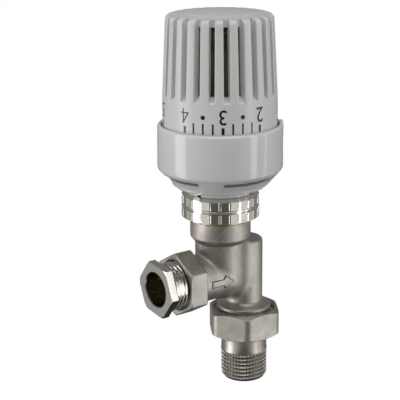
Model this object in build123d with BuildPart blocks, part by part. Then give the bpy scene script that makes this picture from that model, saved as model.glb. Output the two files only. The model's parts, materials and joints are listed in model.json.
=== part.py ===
from build123d import *
import os
from math import cos, radians, sin

# An axial thermostatic radiator valve, in millimetres, +Z up.
# The radiator tail's thread runs along Z through the origin, which lies on its first full crest.
# The pipe enters along +X through a compression fitting, rises through the seat on the head's
# axis, crosses over the seat into the riser, and leaves downwards through the union and the tail.
# Bearings are in degrees about the head's axis, counted from +X towards +Y.

# ---- Driving dimensions -------------------------------------------------------------------------

head_x = -13.25          # the head's axis stands this far from the tail's axis
inlet_z = 49.8           # height of the pipe inlet's axis
running_gap = 0.05       # radial clearance of every turning or sliding fit

# Radiator tail, R 1/2
tail_thread_radius = 10.478
tail_pitch = 1.814
tail_crests = 7
tail_end_z = -2.0
tail_end_radius = 9.35
tail_shank_radius = 10.3
tail_bore_radius = 7.0
tail_collar_z = 21.6     # underside of the collar that the union nut pulls on

# Union nut, 30 mm across flats, G 3/4
union_flats = 30.0
union_bottom_z = 19.3
union_top_z = 31.5
union_thread_radius = 13.22

# Body
outlet_face_z = 23.6
outlet_collar_z = 32.5
riser_foot_z = 34.9
riser_radius = 8.3
riser_top_z = 64.5
riser_rim = 2.0          # rounding of the riser's closed top
riser_bore_radius = 5.8
lower_radius = 11.2
neck_radius = 13.3
neck_bottom_z = 66.0
neck_top_z = 75.9
branch_radius = 10.4
body_hex_flats = 25.0
body_hex_reach = 38.3    # distance of the hexagon's front face from the tail's axis
body_hex_back = 29.5
passage_radius = 5.0
seat_z = 57.5
chamber_floor_z = 56.3
chamber_radius = 9.6
bonnet_thread_radius = 11.0
bonnet_socket_z = 68.0

# Compression fitting for 15 mm pipe, G 1/2
pipe_bore_radius = 7.6
gland_thread_radius = 10.478
gland_flats = 22.0
gland_front = 48.4
gland_head_back = 45.0
gland_end = 34.0
pipe_stop = 24.0

# Head connection, M30 x 1.5
head_thread_radius = 14.85
head_thread_pitch = 1.5
bonnet_top_z = 86.8
ring_radius = 17.15
ring_bottom_z = 77.5
ring_top_z = 89.5
ring_flats = 24
ring_flat_radius = 16.78
ring_flat_width = 3.6

# Head
base_radius = 27.2
base_inner_radius = 25.45
base_step_z = 99.3
base_rim_z = 118.3
wheel_bottom_z = 106.0
wheel_slot_z = 131.1
wheel_top_z = 166.2
wheel_ribs = 24
rib_bearing = -127.8     # one rib stands at this bearing
pillar_bearing = -137.3  # one of the base's four pillars stands at this bearing
pointer_bearing = -33.0  # the setting mark on the base

# Rest state: setting 1, plug open by this much
plug_gap = 1.6


# ---- Planes and helpers -------------------------------------------------------------------------

tail_section = Plane.XZ
tail_axis = Axis.Z
head_axis = Axis((head_x, 0, 0), (0, 0, 1))
inlet_axis = Axis((0, 0, inlet_z), (-1, 0, 0))
# On this plane x is the distance from the inlet's axis and y the distance from the tail's axis.
inlet_section = Plane(origin=(0, 0, inlet_z), x_dir=(0, 0, 1), z_dir=(0, -1, 0))


def head_section(bearing=0.0):
    """The half-plane through the head's axis at a bearing: x is the radius, y the height."""
    turn = radians(bearing)
    return Plane(origin=(head_x, 0, 0), x_dir=(cos(turn), sin(turn), 0), z_dir=(sin(turn), -cos(turn), 0))


def head_level(height, bearing=0.0):
    """A level plane centred on the head's axis, its x axis pointing along a bearing."""
    turn = radians(bearing)
    return Plane(origin=(head_x, 0, height), x_dir=(cos(turn), sin(turn), 0), z_dir=(0, 0, 1))


def inlet_face(reach):
    """A plane square to the inlet's axis, this far from the tail's axis, facing outwards."""
    return Plane(origin=(-reach, 0, inlet_z), x_dir=(0, 1, 0), z_dir=(-1, 0, 0))


def outline(points):
    """A closed face from its corner points, for the sketch in progress."""
    Polygon(*points, align=None)


def grooves(radius, first, count, pitch, depth):
    """The V grooves between thread crests, for a sketch on a plane through the thread's axis."""
    half = pitch * 0.42
    with Locations([(radius, first + pitch * turn) for turn in range(count)]):
        Polygon((0.1, -half), (0.1, half), (-depth, 0.1), (-depth, -0.1), align=None)


def save(piece, name):
    """Name a finished piece and write it to its own file."""
    piece.part.label = name
    export_step(piece.part, f"parts/{name}.step")


os.makedirs("parts", exist_ok=True)


# ---- Radiator tail and union --------------------------------------------------------------------

with BuildPart() as tail_nipple:
    first_crest = -0.2
    with BuildSketch(tail_section):
        outline([
            (tail_bore_radius, tail_end_z),
            (tail_end_radius, tail_end_z),
            (tail_thread_radius, first_crest),
            (tail_thread_radius, tail_pitch * (tail_crests - 1) + 0.2),
            (tail_shank_radius, tail_pitch * (tail_crests - 1) + 0.4),
            (tail_shank_radius, tail_collar_z),
            (12.0, tail_collar_z),
            (12.0, outlet_face_z),
            (8.6, outlet_face_z),
            (7.9, outlet_face_z + 3.6),
            (tail_bore_radius, outlet_face_z + 3.6),
        ])
    revolve(axis=tail_axis)
    with BuildSketch(tail_section):
        grooves(tail_thread_radius, tail_pitch / 2, tail_crests - 1, tail_pitch, 1.1)
    revolve(axis=tail_axis, mode=Mode.SUBTRACT)
    # O-ring groove on the spigot
    with BuildSketch(tail_section):
        with Locations((8.4, outlet_face_z + 1.5)):
            Rectangle(1.4, 1.5)
    revolve(axis=tail_axis, mode=Mode.SUBTRACT)
save(tail_nipple, "tail_nipple")

with BuildPart() as tail_o_ring:
    with BuildSketch(tail_section):
        with Locations((8.42, outlet_face_z + 1.5)):
            Circle(0.7)
    revolve(axis=tail_axis)
save(tail_o_ring, "tail_o_ring")

with BuildPart() as union_nut:
    corner = union_flats / 3 ** 0.5
    with BuildSketch(Plane.XY.offset(union_bottom_z)):
        RegularPolygon(corner, 6, rotation=-1.5)
    extrude(amount=union_top_z - union_bottom_z)
    # Turned chamfers on both ends of the hexagon
    with BuildSketch(tail_section):
        outline([
            (0, union_bottom_z),
            (14.6, union_bottom_z),
            (corner + 0.1, union_bottom_z + 1.6),
            (corner + 0.1, union_top_z - 1.6),
            (14.6, union_top_z),
            (0, union_top_z),
        ])
    revolve(axis=tail_axis, mode=Mode.INTERSECT)
    # Threaded bore, with a shoulder below that catches the tail's collar
    with BuildSketch(tail_section):
        outline([
            (0, union_bottom_z),
            (tail_shank_radius + 2 * running_gap, union_bottom_z),
            (tail_shank_radius + 2 * running_gap, tail_collar_z - running_gap),
            (union_thread_radius + running_gap, tail_collar_z - running_gap),
            (union_thread_radius + running_gap, union_top_z - 0.9),
            (union_thread_radius + 0.9, union_top_z),
            (0, union_top_z),
        ])
    revolve(axis=tail_axis, mode=Mode.SUBTRACT)
save(union_nut, "union_nut")


# ---- Valve body ---------------------------------------------------------------------------------

with BuildPart() as valve_body:
    # Riser with the union's male thread and its flared collar below
    with BuildSketch(tail_section):
        with BuildLine():
            Polyline(
                (0, outlet_face_z),
                (union_thread_radius - 0.6, outlet_face_z),
                (union_thread_radius, outlet_face_z + 0.6),
                (union_thread_radius, outlet_collar_z - 2.0),
                (11.9, outlet_collar_z - 1.6),
                (11.9, outlet_collar_z - 0.4),
                (12.3, outlet_collar_z),
            )
            flare = ThreePointArc((12.3, outlet_collar_z), (9.3, outlet_collar_z + 0.9), (riser_radius, riser_foot_z))
            Polyline(flare @ 1, (riser_radius, riser_top_z - riser_rim))
            ThreePointArc(
                (riser_radius, riser_top_z - riser_rim),
                (riser_radius - 0.293 * riser_rim, riser_top_z - 0.293 * riser_rim),
                (riser_radius - riser_rim, riser_top_z),
            )
            Polyline((riser_radius - riser_rim, riser_top_z), (0, riser_top_z), (0, outlet_face_z))
        make_face()
    revolve(axis=tail_axis)
    with BuildSketch(tail_section):
        grooves(union_thread_radius, outlet_face_z + 1.6, 3, tail_pitch, 1.1)
    revolve(axis=tail_axis, mode=Mode.SUBTRACT)
    # Seat housing and neck on the head's axis, with a rounded bottom
    with BuildSketch(head_section()):
        with BuildLine():
            ThreePointArc(
                (0, inlet_z - lower_radius),
                (lower_radius * 0.5 ** 0.5, inlet_z - lower_radius * 0.5 ** 0.5),
                (lower_radius, inlet_z),
            )
            Polyline(
                (lower_radius, inlet_z),
                (lower_radius, neck_bottom_z - 0.3),
                (neck_radius - 1.1, neck_bottom_z + 0.3),
                (neck_radius, neck_bottom_z + 2.2),
                (neck_radius, neck_top_z - 0.35),
                (neck_radius - 0.35, neck_top_z),
                (0, neck_top_z),
                (0, inlet_z - lower_radius),
            )
        make_face()
    revolve(axis=head_axis)
    # Inlet branch and its hexagon, corners up and down
    with BuildSketch(inlet_section):
        outline([(0, -head_x), (branch_radius, -head_x), (branch_radius, body_hex_back + 1), (0, body_hex_back + 1)])
    revolve(axis=inlet_axis)
    with BuildSketch(inlet_section):
        outline([
            (0, body_hex_back),
            (13.8, body_hex_back),
            (14.5, body_hex_back + 0.4),
            (14.5, body_hex_reach - 0.8),
            (13.2, body_hex_reach),
            (0, body_hex_reach),
        ])
    revolve(axis=inlet_axis)
    with BuildSketch(inlet_face(body_hex_back)):
        Rectangle(60, 60)
        RegularPolygon(body_hex_flats / 3 ** 0.5, 6, rotation=30, mode=Mode.SUBTRACT)
    extrude(amount=body_hex_reach - body_hex_back, mode=Mode.SUBTRACT)
    # Pipe socket: compression thread, olive cone, pipe stop, passage under the seat
    with BuildSketch(inlet_section):
        outline([
            (0, -head_x),
            (passage_radius, -head_x),
            (passage_radius, pipe_stop),
            (pipe_bore_radius, pipe_stop),
            (pipe_bore_radius, body_hex_back - 0.4),
            (9.4, body_hex_back + 1.6),
            (gland_thread_radius + running_gap, body_hex_back + 1.6),
            (gland_thread_radius + running_gap, body_hex_reach - 0.4),
            (gland_thread_radius + 0.4, body_hex_reach),
            (0, body_hex_reach),
        ])
    revolve(axis=inlet_axis, mode=Mode.SUBTRACT)
    # Seat, plug chamber and bonnet thread
    with BuildSketch(head_section()):
        outline([
            (0, inlet_z),
            (passage_radius, inlet_z),
            (passage_radius, seat_z),
            (6.4, seat_z),
            (6.8, chamber_floor_z),
            (chamber_radius, chamber_floor_z),
            (chamber_radius, bonnet_socket_z),
            (bonnet_thread_radius + running_gap, bonnet_socket_z),
            (bonnet_thread_radius + running_gap, neck_top_z),
            (0, neck_top_z),
        ])
    revolve(axis=head_axis, mode=Mode.SUBTRACT)
    # Riser bore, from the tail's spigot up to the plug chamber
    with BuildSketch(tail_section):
        outline([
            (0, outlet_face_z),
            (9.3, outlet_face_z),
            (9.15, outlet_face_z + 0.9),
            (9.15, outlet_face_z + 2.6),
            (8.1, outlet_face_z + 3.8),
            (8.1, outlet_face_z + 4.2),
            (riser_bore_radius, outlet_face_z + 5.8),
            (riser_bore_radius, riser_top_z - 2.6),
            (0, riser_top_z - 1.6),
        ])
    revolve(axis=tail_axis, mode=Mode.SUBTRACT)
save(valve_body, "valve_body")


# ---- Compression fitting ------------------------------------------------------------------------

with BuildPart() as gland_nut:
    with BuildSketch(inlet_face(gland_head_back)):
        RegularPolygon(gland_flats / 3 ** 0.5, 6, rotation=-7.5)
    extrude(amount=gland_front - gland_head_back)
    with BuildSketch(inlet_section):
        outline([
            (0, gland_head_back),
            (12.8, gland_head_back),
            (12.8, gland_front - 0.5),
            (11.9, gland_front),
            (0, gland_front),
        ])
    revolve(axis=inlet_axis, mode=Mode.INTERSECT)
    with BuildSketch(inlet_section):
        outline([
            (0, gland_end),
            (9.7, gland_end),
            (gland_thread_radius, gland_end + 0.8),
            (gland_thread_radius, gland_head_back - 0.9),
            (9.6, gland_head_back - 0.5),
            (9.6, gland_head_back),
            (0, gland_head_back),
        ])
    revolve(axis=inlet_axis)
    with BuildSketch(inlet_section):
        grooves(gland_thread_radius, gland_end + 1.9, 5, tail_pitch, 1.1)
    revolve(axis=inlet_axis, mode=Mode.SUBTRACT)
    # Pipe bore, with a cone inside that closes on the olive
    with BuildSketch(inlet_section):
        outline([
            (0, gland_end),
            (9.0, gland_end),
            (pipe_bore_radius, gland_end + 1.6),
            (pipe_bore_radius, gland_front - 0.4),
            (pipe_bore_radius + 0.4, gland_front),
            (0, gland_front),
        ])
    revolve(axis=inlet_axis, mode=Mode.SUBTRACT)
save(gland_nut, "gland_nut")

with BuildPart() as olive:
    olive_start = body_hex_back + 0.25
    with BuildSketch(inlet_section):
        outline([
            (pipe_bore_radius, olive_start),
            (pipe_bore_radius + 0.25, olive_start),
            (8.85, olive_start + 1.9),
            (8.85, olive_start + 3.2),
            (pipe_bore_radius + 0.25, olive_start + 5.2),
            (pipe_bore_radius, olive_start + 5.2),
        ])
    revolve(axis=inlet_axis)
save(olive, "olive")


# ---- Valve insert -------------------------------------------------------------------------------

spring_chamber_radius = 4.3
bushing_top_z = 68.2
packing_bottom_z = 81.2
spindle_radius = 2.0
pin_radius = 1.5
pin_top_z = 93.0
washer_z = seat_z + plug_gap
holder_z = washer_z + 0.6
holder_top_z = washer_z + 3.2
collar_z = 76.6

with BuildPart() as bonnet:
    with BuildSketch(head_section()):
        outline([
            (spindle_radius + running_gap, 65.4),
            (chamber_radius - 0.1, 65.4),
            (chamber_radius - 0.1, bonnet_socket_z + 0.3),
            (bonnet_thread_radius, bonnet_socket_z + 1.2),
            (bonnet_thread_radius, neck_top_z - 0.5),
            (10.2, neck_top_z - 0.4),
            (10.2, neck_top_z),
            (13.0, neck_top_z),
            (13.0, ring_bottom_z - 0.1),
            (13.2, ring_bottom_z + 0.3),
            (head_thread_radius, ring_bottom_z + 1.4),
            (head_thread_radius, bonnet_top_z - 0.7),
            (head_thread_radius - 0.7, bonnet_top_z),
            (5.6, bonnet_top_z),
            (5.6, packing_bottom_z),
            (spring_chamber_radius, packing_bottom_z),
            (spring_chamber_radius, bushing_top_z),
            (spindle_radius + running_gap, bushing_top_z),
        ])
    revolve(axis=head_axis)
    with BuildSketch(head_section()):
        grooves(bonnet_thread_radius, bonnet_socket_z + 2.1, 4, head_thread_pitch, 0.9)
        grooves(head_thread_radius, ring_bottom_z + 2.2, 4, head_thread_pitch, 0.9)
    revolve(axis=head_axis, mode=Mode.SUBTRACT)
    # O-ring groove on the nose
    with BuildSketch(head_section()):
        with Locations((9.2, 66.9)):
            Rectangle(2.2, 1.6)
    revolve(axis=head_axis, mode=Mode.SUBTRACT)
save(bonnet, "bonnet")

with BuildPart() as bonnet_o_ring:
    with BuildSketch(head_section()):
        with Locations((8.85, 66.9)):
            Circle(0.74)
    revolve(axis=head_axis)
save(bonnet_o_ring, "bonnet_o_ring")

with BuildPart() as packing_nut:
    with BuildSketch(head_level(bonnet_top_z + 0.6)):
        RegularPolygon(11 / 3 ** 0.5, 6)
    extrude(amount=2.9)
    with BuildSketch(head_section()):
        outline([
            (0, packing_bottom_z),
            (5.55, packing_bottom_z),
            (5.55, bonnet_top_z + 0.1),
            (5.0, bonnet_top_z + 0.1),
            (5.0, bonnet_top_z + 0.6),
            (0, bonnet_top_z + 0.6),
        ])
    revolve(axis=head_axis)
    with BuildSketch(head_section()):
        outline([
            (0, packing_bottom_z),
            (pin_radius + running_gap, packing_bottom_z),
            (pin_radius + running_gap, packing_bottom_z + 3.0),
            (3.1, packing_bottom_z + 3.0),
            (3.1, packing_bottom_z + 4.6),
            (pin_radius + running_gap, packing_bottom_z + 4.6),
            (pin_radius + running_gap, bonnet_top_z + 3.5),
            (0, bonnet_top_z + 3.5),
        ])
    revolve(axis=head_axis, mode=Mode.SUBTRACT)
save(packing_nut, "packing_nut")

with BuildPart() as spindle_o_ring:
    with BuildSketch(head_section()):
        with Locations((2.31, packing_bottom_z + 3.8)):
            Circle(0.76)
    revolve(axis=head_axis)
save(spindle_o_ring, "spindle_o_ring")

with BuildPart() as spindle:
    with BuildSketch(head_section()):
        outline([
            (0, washer_z - 1.4),
            (1.4, washer_z - 1.4),
            (1.4, holder_top_z),
            (spindle_radius, holder_top_z),
            (spindle_radius, collar_z + 1.2),
            (pin_radius, collar_z + 1.2),
            (pin_radius, pin_top_z - 0.3),
            (pin_radius - 0.3, pin_top_z),
            (0, pin_top_z),
        ])
    revolve(axis=head_axis)
    with BuildSketch(head_section()):
        with Locations((spindle_radius, collar_z - 0.4)):
            Rectangle(0.8, 0.8)
    revolve(axis=head_axis, mode=Mode.SUBTRACT)
save(spindle, "spindle")

with BuildPart() as spring_seat:
    with BuildSketch(head_level(collar_z)):
        Circle(spring_chamber_radius - 0.2)
        Circle(spindle_radius, mode=Mode.SUBTRACT)
    extrude(amount=1.1)
save(spring_seat, "spring_seat")

with BuildPart() as retaining_clip:
    with BuildSketch(head_level(collar_z - 0.75)):
        Circle(2.7)
        Circle(spindle_radius - 0.38, mode=Mode.SUBTRACT)
        with Locations((2.5, 0)):
            Rectangle(3.0, 2.0, mode=Mode.SUBTRACT)
    extrude(amount=0.7)
save(retaining_clip, "retaining_clip")

with BuildPart() as plug_holder:
    with BuildSketch(head_section()):
        outline([
            (1.42, washer_z + 1.8),
            (5.6, washer_z + 1.8),
            (5.6, holder_z),
            (6.3, holder_z),
            (6.3, holder_top_z - 0.4),
            (5.9, holder_top_z),
            (1.42, holder_top_z),
        ])
    revolve(axis=head_axis)
save(plug_holder, "plug_holder")

with BuildPart() as seat_washer:
    with BuildSketch(head_level(washer_z)):
        Circle(5.58)
        Circle(1.42, mode=Mode.SUBTRACT)
    extrude(amount=1.78)
save(seat_washer, "seat_washer")

with BuildPart() as washer_clip:
    with BuildSketch(head_level(washer_z - 0.9)):
        Circle(3.0)
        Circle(1.42, mode=Mode.SUBTRACT)
    extrude(amount=0.88)
save(washer_clip, "washer_clip")


def coil(radius, wire, bottom, top, turns):
    """A round-wire compression spring about the head's axis, between two heights."""
    rise = top - bottom - wire
    path = Helix(rise / turns, rise, radius, center=(head_x, 0, bottom + wire / 2))
    start = Plane(origin=path @ 0, z_dir=path % 0)
    return path, start


with BuildPart() as return_spring:
    spring_path, spring_start = coil(3.3, 0.8, bushing_top_z + 0.1, collar_z - 0.85, 5)
    with BuildLine():
        add(spring_path)
    with BuildSketch(spring_start):
        Circle(0.4)
    sweep(is_frenet=True)
save(return_spring, "return_spring")


# ---- Head connection ----------------------------------------------------------------------------

with BuildPart() as lock_ring:
    groove_z = ring_bottom_z + 5.0
    with BuildSketch(head_section()):
        outline([
            (head_thread_radius + running_gap + 0.5, ring_bottom_z),
            (ring_radius - 0.25, ring_bottom_z),
            (ring_radius, ring_bottom_z + 0.25),
            (ring_radius, groove_z - 0.95),
            (ring_radius - 0.85, groove_z - 0.25),
            (ring_radius - 0.85, groove_z + 0.25),
            (ring_radius, groove_z + 0.95),
            (ring_radius, 87.4),
            (15.95, 88.6),
            (15.35, 88.7),
            (15.35, ring_top_z),
            (12.9, ring_top_z),
            (12.9, 88.3),
            (head_thread_radius + running_gap, 88.3),
            (head_thread_radius + running_gap, ring_bottom_z + 0.5),
        ])
    revolve(axis=head_axis)
    # Flats around the outside, with narrow lands between them
    with BuildSketch(head_level(ring_bottom_z)):
        with PolarLocations(ring_flat_radius + 1.0, ring_flats, start_angle=rib_bearing + 7.5):
            Rectangle(2.0, ring_flat_width)
    extrude(amount=10.4, mode=Mode.SUBTRACT)
save(lock_ring, "lock_ring")


# ---- Head base ----------------------------------------------------------------------------------

with BuildPart() as base_shell:
    with BuildSketch(head_section()):
        with BuildLine():
            Polyline(
                (9.0, bonnet_top_z),
                (14.4, bonnet_top_z),
                (14.4, 88.2),
                (12.8, 88.2),
                (12.8, 89.65),
                (15.5, 89.65),
                (15.5, 88.85),
                (15.9, 88.85),
                (19.5, 90.4),
                (base_radius, base_step_z),
                (base_radius - 0.2, base_rim_z - 1.4),
            )
            ThreePointArc(
                (base_radius - 0.2, base_rim_z - 1.4),
                (base_radius - 0.53, base_rim_z - 0.45),
                (base_radius - 1.35, base_rim_z),
            )
            Polyline(
                (base_radius - 1.35, base_rim_z),
                (base_inner_radius, base_rim_z - 0.2),
                (base_inner_radius, 101.2),
                (23.0, 98.9),
                (17.6, 92.4),
                (9.0, 92.4),
                (9.0, bonnet_top_z),
            )
        make_face()
    revolve(axis=head_axis)
    # Four scooped recesses below the ring, each between two pillars, with an air slot at its top
    for quarter in range(4):
        start = pillar_bearing + 90 * quarter + 9.5
        with BuildSketch(head_section(start)):
            outline([
                (base_radius + 0.5, base_step_z + 0.6),
                (base_radius - 1.5, base_step_z - 1.6),
                (23.9, base_step_z - 2.2),
                (20.9, 92.9),
                (21.2, 92.2),
                (30.0, 92.2),
            ])
        revolve(axis=head_axis, revolution_arc=71, mode=Mode.SUBTRACT)
        with BuildSketch(head_section(start + 2)):
            with Locations((23.5, base_step_z - 2.6)):
                Rectangle(5.0, 1.0)
        revolve(axis=head_axis, revolution_arc=67, mode=Mode.SUBTRACT)
    # Small square slit and two wide shallow notches in the lower collar
    with BuildSketch(head_level(88.0, rib_bearing - 34)):
        with Locations((17.0, 0)):
            Rectangle(4.0, 2.1)
    extrude(amount=2.9, mode=Mode.SUBTRACT)
    for notch_start in (rib_bearing + 52, rib_bearing - 106):
        with BuildSketch(head_section(notch_start)):
            outline([(15.45, 88.0), (18.0, 88.0), (18.0, 89.62), (15.45, 89.62)])
        revolve(axis=head_axis, revolution_arc=48, mode=Mode.SUBTRACT)
    # Setting mark: a small tab on the rim
    with BuildSketch(head_level(111.4, pointer_bearing)):
        with Locations((26.45, 0)):
            RectangleRounded(1.7, 4.6, 0.6)
    extrude(amount=8.2)
save(base_shell, "base_shell")

with BuildPart() as guide_sleeve:
    with BuildSketch(head_section()):
        outline([
            (16.4, 92.45),
            (17.4, 92.45),
            (19.6, 95.2),
            (19.6, 96.4),
            (18.9, 97.4),
            (18.9, 126.6),
            (18.5, 127.0),
            (16.4, 127.0),
        ])
    revolve(axis=head_axis)
    with BuildSketch(head_section()):
        grooves(18.9, 101.0, 10, 2.6, 0.7)
    revolve(axis=head_axis, mode=Mode.SUBTRACT)
    # Keyways that stop the sensor holder from turning
    with BuildSketch(head_level(104.0)):
        with PolarLocations(16.6, 4):
            Rectangle(1.8, 3.2)
    extrude(amount=24.0, mode=Mode.SUBTRACT)
save(guide_sleeve, "guide_sleeve")


# ---- Handwheel ----------------------------------------------------------------------------------

slot_tilt = radians(31.5)
slot_mouth = 24.6
dome_radius = 19.4
dome_z = 165.05

# One slot between two ribs: wider outside, leaning in with the draft of the wheel, with a floor
# that rises inwards. It is drawn at bearing 0 and cuts the wheel once between each pair of ribs.
with BuildPart() as slot_cutter:
    slot_floor = Plane(
        origin=(slot_mouth, 0, wheel_slot_z),
        x_dir=(cos(slot_tilt), 0, -sin(slot_tilt)),
        z_dir=(sin(slot_tilt), 0, cos(slot_tilt)),
    )
    with BuildSketch(slot_floor):
        Polygon((-3.7, -0.85), (2.6, -1.75), (2.6, 1.75), (-3.7, 0.85), align=None)
    extrude(amount=40, dir=(-0.0486, 0, 1))

with BuildPart() as handwheel:
    with BuildSketch(head_section()):
        with BuildLine():
            Polyline(
                (25.0, wheel_bottom_z),
                (24.7, base_rim_z),
                (slot_mouth, wheel_slot_z),
                (23.0, 162.4),
            )
            ThreePointArc((23.0, 162.4), (22.1, 164.2), (dome_radius, dome_z))
            Polyline(
                (dome_radius, dome_z),
                (0, dome_z),
                (0, wheel_top_z - 2.0),
                (17.3, 163.1),
                (18.3, 162.1),
                (19.9, wheel_slot_z),
                (19.0, wheel_slot_z - 0.9),
                (19.0, 112.0),
                (20.6, 112.0),
                (20.6, 128.3),
                (22.8, 128.3),
                (23.1, wheel_bottom_z),
                (25.0, wheel_bottom_z),
            )
        make_face()
    revolve(axis=head_axis)
    with Locations((head_x, 0, 0)):
        with PolarLocations(0, wheel_ribs, start_angle=rib_bearing + 180 / wheel_ribs):
            add(slot_cutter.part, mode=Mode.SUBTRACT)
    # A narrow air window through the wall behind each slot
    with BuildSketch(head_level(134.0)):
        with PolarLocations(19.5, wheel_ribs, start_angle=rib_bearing + 180 / wheel_ribs):
            Rectangle(5.0, 1.5)
    extrude(amount=27.5, mode=Mode.SUBTRACT)
    # Slightly domed top
    with BuildSketch(head_section()):
        with BuildLine():
            ThreePointArc((dome_radius, dome_z), (dome_radius / 2, 165.92), (0, wheel_top_z))
            Polyline((0, wheel_top_z), (0, dome_z), (dome_radius, dome_z))
        make_face()
    revolve(axis=head_axis)
save(handwheel, "handwheel")


# ---- Sensor -------------------------------------------------------------------------------------

with BuildPart() as sensor_holder:
    with BuildSketch(head_section()):
        outline([
            (3.2, 105.0),
            (16.35, 105.0),
            (16.35, 107.4),
            (13.4, 107.4),
            (13.4, 119.0),
            (12.2, 119.0),
            (12.2, 108.2),
            (3.2, 108.2),
        ])
    revolve(axis=head_axis)
    # Keys that slide in the guide sleeve's keyways
    with BuildSketch(head_level(105.0)):
        with PolarLocations(16.6, 4):
            Rectangle(1.4, 3.0)
    extrude(amount=2.4)
save(sensor_holder, "sensor_holder")

with BuildPart() as sensor_capsule:
    with BuildSketch(head_section()):
        outline([
            (0, 108.2),
            (11.0, 108.2),
            (12.1, 109.4),
            (12.1, 150.6),
            (11.2, 151.5),
            (4.0, 151.5),
            (4.0, 153.0),
            (0, 153.0),
        ])
    revolve(axis=head_axis)
save(sensor_capsule, "sensor_capsule")

with BuildPart() as sensor_plunger:
    with BuildSketch(head_section()):
        outline([
            (0, pin_top_z),
            (3.6, pin_top_z),
            (4.4, pin_top_z + 0.8),
            (4.4, pin_top_z + 4.2),
            (3.0, pin_top_z + 5.0),
            (3.0, 107.85),
            (0, 107.85),
        ])
    revolve(axis=head_axis)
save(sensor_plunger, "sensor_plunger")

with BuildPart() as spring_cup:
    with BuildSketch(head_section()):
        outline([
            (4.1, 151.5),
            (9.6, 151.5),
            (9.6, 158.2),
            (8.7, 158.2),
            (8.7, 152.4),
            (4.1, 152.4),
        ])
    revolve(axis=head_axis)
save(spring_cup, "spring_cup")

with BuildPart() as overload_spring:
    overload_path, overload_start = coil(7.5, 1.6, 152.45, 162.35, 3)
    with BuildLine():
        add(overload_path)
    with BuildSketch(overload_start):
        Circle(0.8)
    sweep(is_frenet=True)
save(overload_spring, "overload_spring")

with BuildPart() as thrust_washer:
    with BuildSketch(head_level(162.4)):
        Circle(9.4)
        Circle(4.0, mode=Mode.SUBTRACT)
    extrude(amount=1.0)
save(thrust_washer, "thrust_washer")
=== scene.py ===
import json
import math

import bmesh
import bpy
import numpy as np
from mathutils import Matrix, Vector


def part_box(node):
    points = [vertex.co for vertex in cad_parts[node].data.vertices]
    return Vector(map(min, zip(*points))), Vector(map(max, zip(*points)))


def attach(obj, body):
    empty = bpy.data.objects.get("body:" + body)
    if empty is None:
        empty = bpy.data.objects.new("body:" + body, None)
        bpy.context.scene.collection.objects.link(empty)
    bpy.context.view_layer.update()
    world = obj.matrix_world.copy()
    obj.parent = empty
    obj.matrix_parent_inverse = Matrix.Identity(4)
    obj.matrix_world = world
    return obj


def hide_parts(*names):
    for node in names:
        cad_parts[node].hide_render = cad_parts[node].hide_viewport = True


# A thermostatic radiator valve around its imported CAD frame. Shapes are worked out in
# millimetres in the row frame and scaled to metres as each mesh is made.

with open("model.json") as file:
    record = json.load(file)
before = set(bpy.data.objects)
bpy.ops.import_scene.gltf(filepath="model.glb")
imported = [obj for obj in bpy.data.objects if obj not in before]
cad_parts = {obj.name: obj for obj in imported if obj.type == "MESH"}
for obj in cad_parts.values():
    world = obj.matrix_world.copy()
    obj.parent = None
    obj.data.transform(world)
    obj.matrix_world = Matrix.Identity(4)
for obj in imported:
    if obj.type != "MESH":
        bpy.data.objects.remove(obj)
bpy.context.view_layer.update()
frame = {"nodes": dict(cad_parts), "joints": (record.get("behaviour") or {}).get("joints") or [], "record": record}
MM = 0.001

joints = {joint["name"]: joint for joint in frame["joints"]}
mounts = {mount["name"]: mount for mount in frame["record"]["mounts"]}
head_x = joints["handwheel_turn"]["pos_m"][0] / MM
inlet_z = mounts["pipe_inlet"]["pos_m"][2] / MM


def span(node):
    """Heights of a CAD node's lowest and highest points, in millimetres."""
    low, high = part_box(node)
    return low[2] / MM, high[2] / MM


tail_low, tail_high = span("tail_nipple")
union_low, union_high = span("union_nut")
body_low, body_high = span("valve_body")
ring_low = span("lock_ring")[0]
base_high = span("base_shell")[1]
wheel_low, wheel_high = span("handwheel")
MARK_OVER_RIM = 1.3
rim_high = base_high - MARK_OVER_RIM

FRONT = math.radians(-127.8)      # bearing of the rib that faces the viewer


# ---- Mesh helpers ----------------------------

def add_object(name, data):
    """A new object in the scene."""
    made = bpy.data.objects.new(name, data)
    bpy.context.scene.collection.objects.link(made)
    return made


def make_object(name, points, faces, material, sharp_degrees=32.0):
    """A mesh object from points in millimetres, smooth but for edges over an angle."""
    mesh = bpy.data.meshes.new(name)
    mesh.from_pydata([tuple(p) for p in np.asarray(points) * MM], [], [tuple(f) for f in faces])
    mesh.validate()
    work = bmesh.new()
    work.from_mesh(mesh)
    bmesh.ops.remove_doubles(work, verts=work.verts, dist=1e-6)
    bmesh.ops.recalc_face_normals(work, faces=work.faces)
    work.to_mesh(mesh)
    work.free()
    mesh.shade_smooth()
    mesh.set_sharp_from_angle(angle=math.radians(sharp_degrees))
    mesh.materials.append(material)
    return add_object(name, mesh)


def add_bevel(piece, width, segments=2, degrees=30.0):
    """Small rounded edges on every corner sharper than an angle."""
    bevel = piece.modifiers.new("edge_rounding", "BEVEL")
    bevel.width = width * MM
    bevel.segments = segments
    bevel.limit_method = "ANGLE"
    bevel.angle_limit = math.radians(degrees)
    bevel.harden_normals = True
    bevel.miter_outer = "MITER_ARC"


def refine(work, times, grid_fill):
    """Cuts a flat bmesh into triangles, each split a few times."""
    bmesh.ops.triangulate(work, faces=work.faces[:])
    for _ in range(times):
        bmesh.ops.subdivide_edges(work, edges=work.edges[:], cuts=1, use_grid_fill=grid_fill)
        bmesh.ops.triangulate(work, faces=work.faces[:])


def take_mesh(work):
    """Points and faces of a bmesh, which is freed."""
    work.verts.index_update()
    points = [tuple(vert.co) for vert in work.verts]
    faces = [tuple(vert.index for vert in face.verts) for face in work.faces]
    work.free()
    return points, faces


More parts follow.
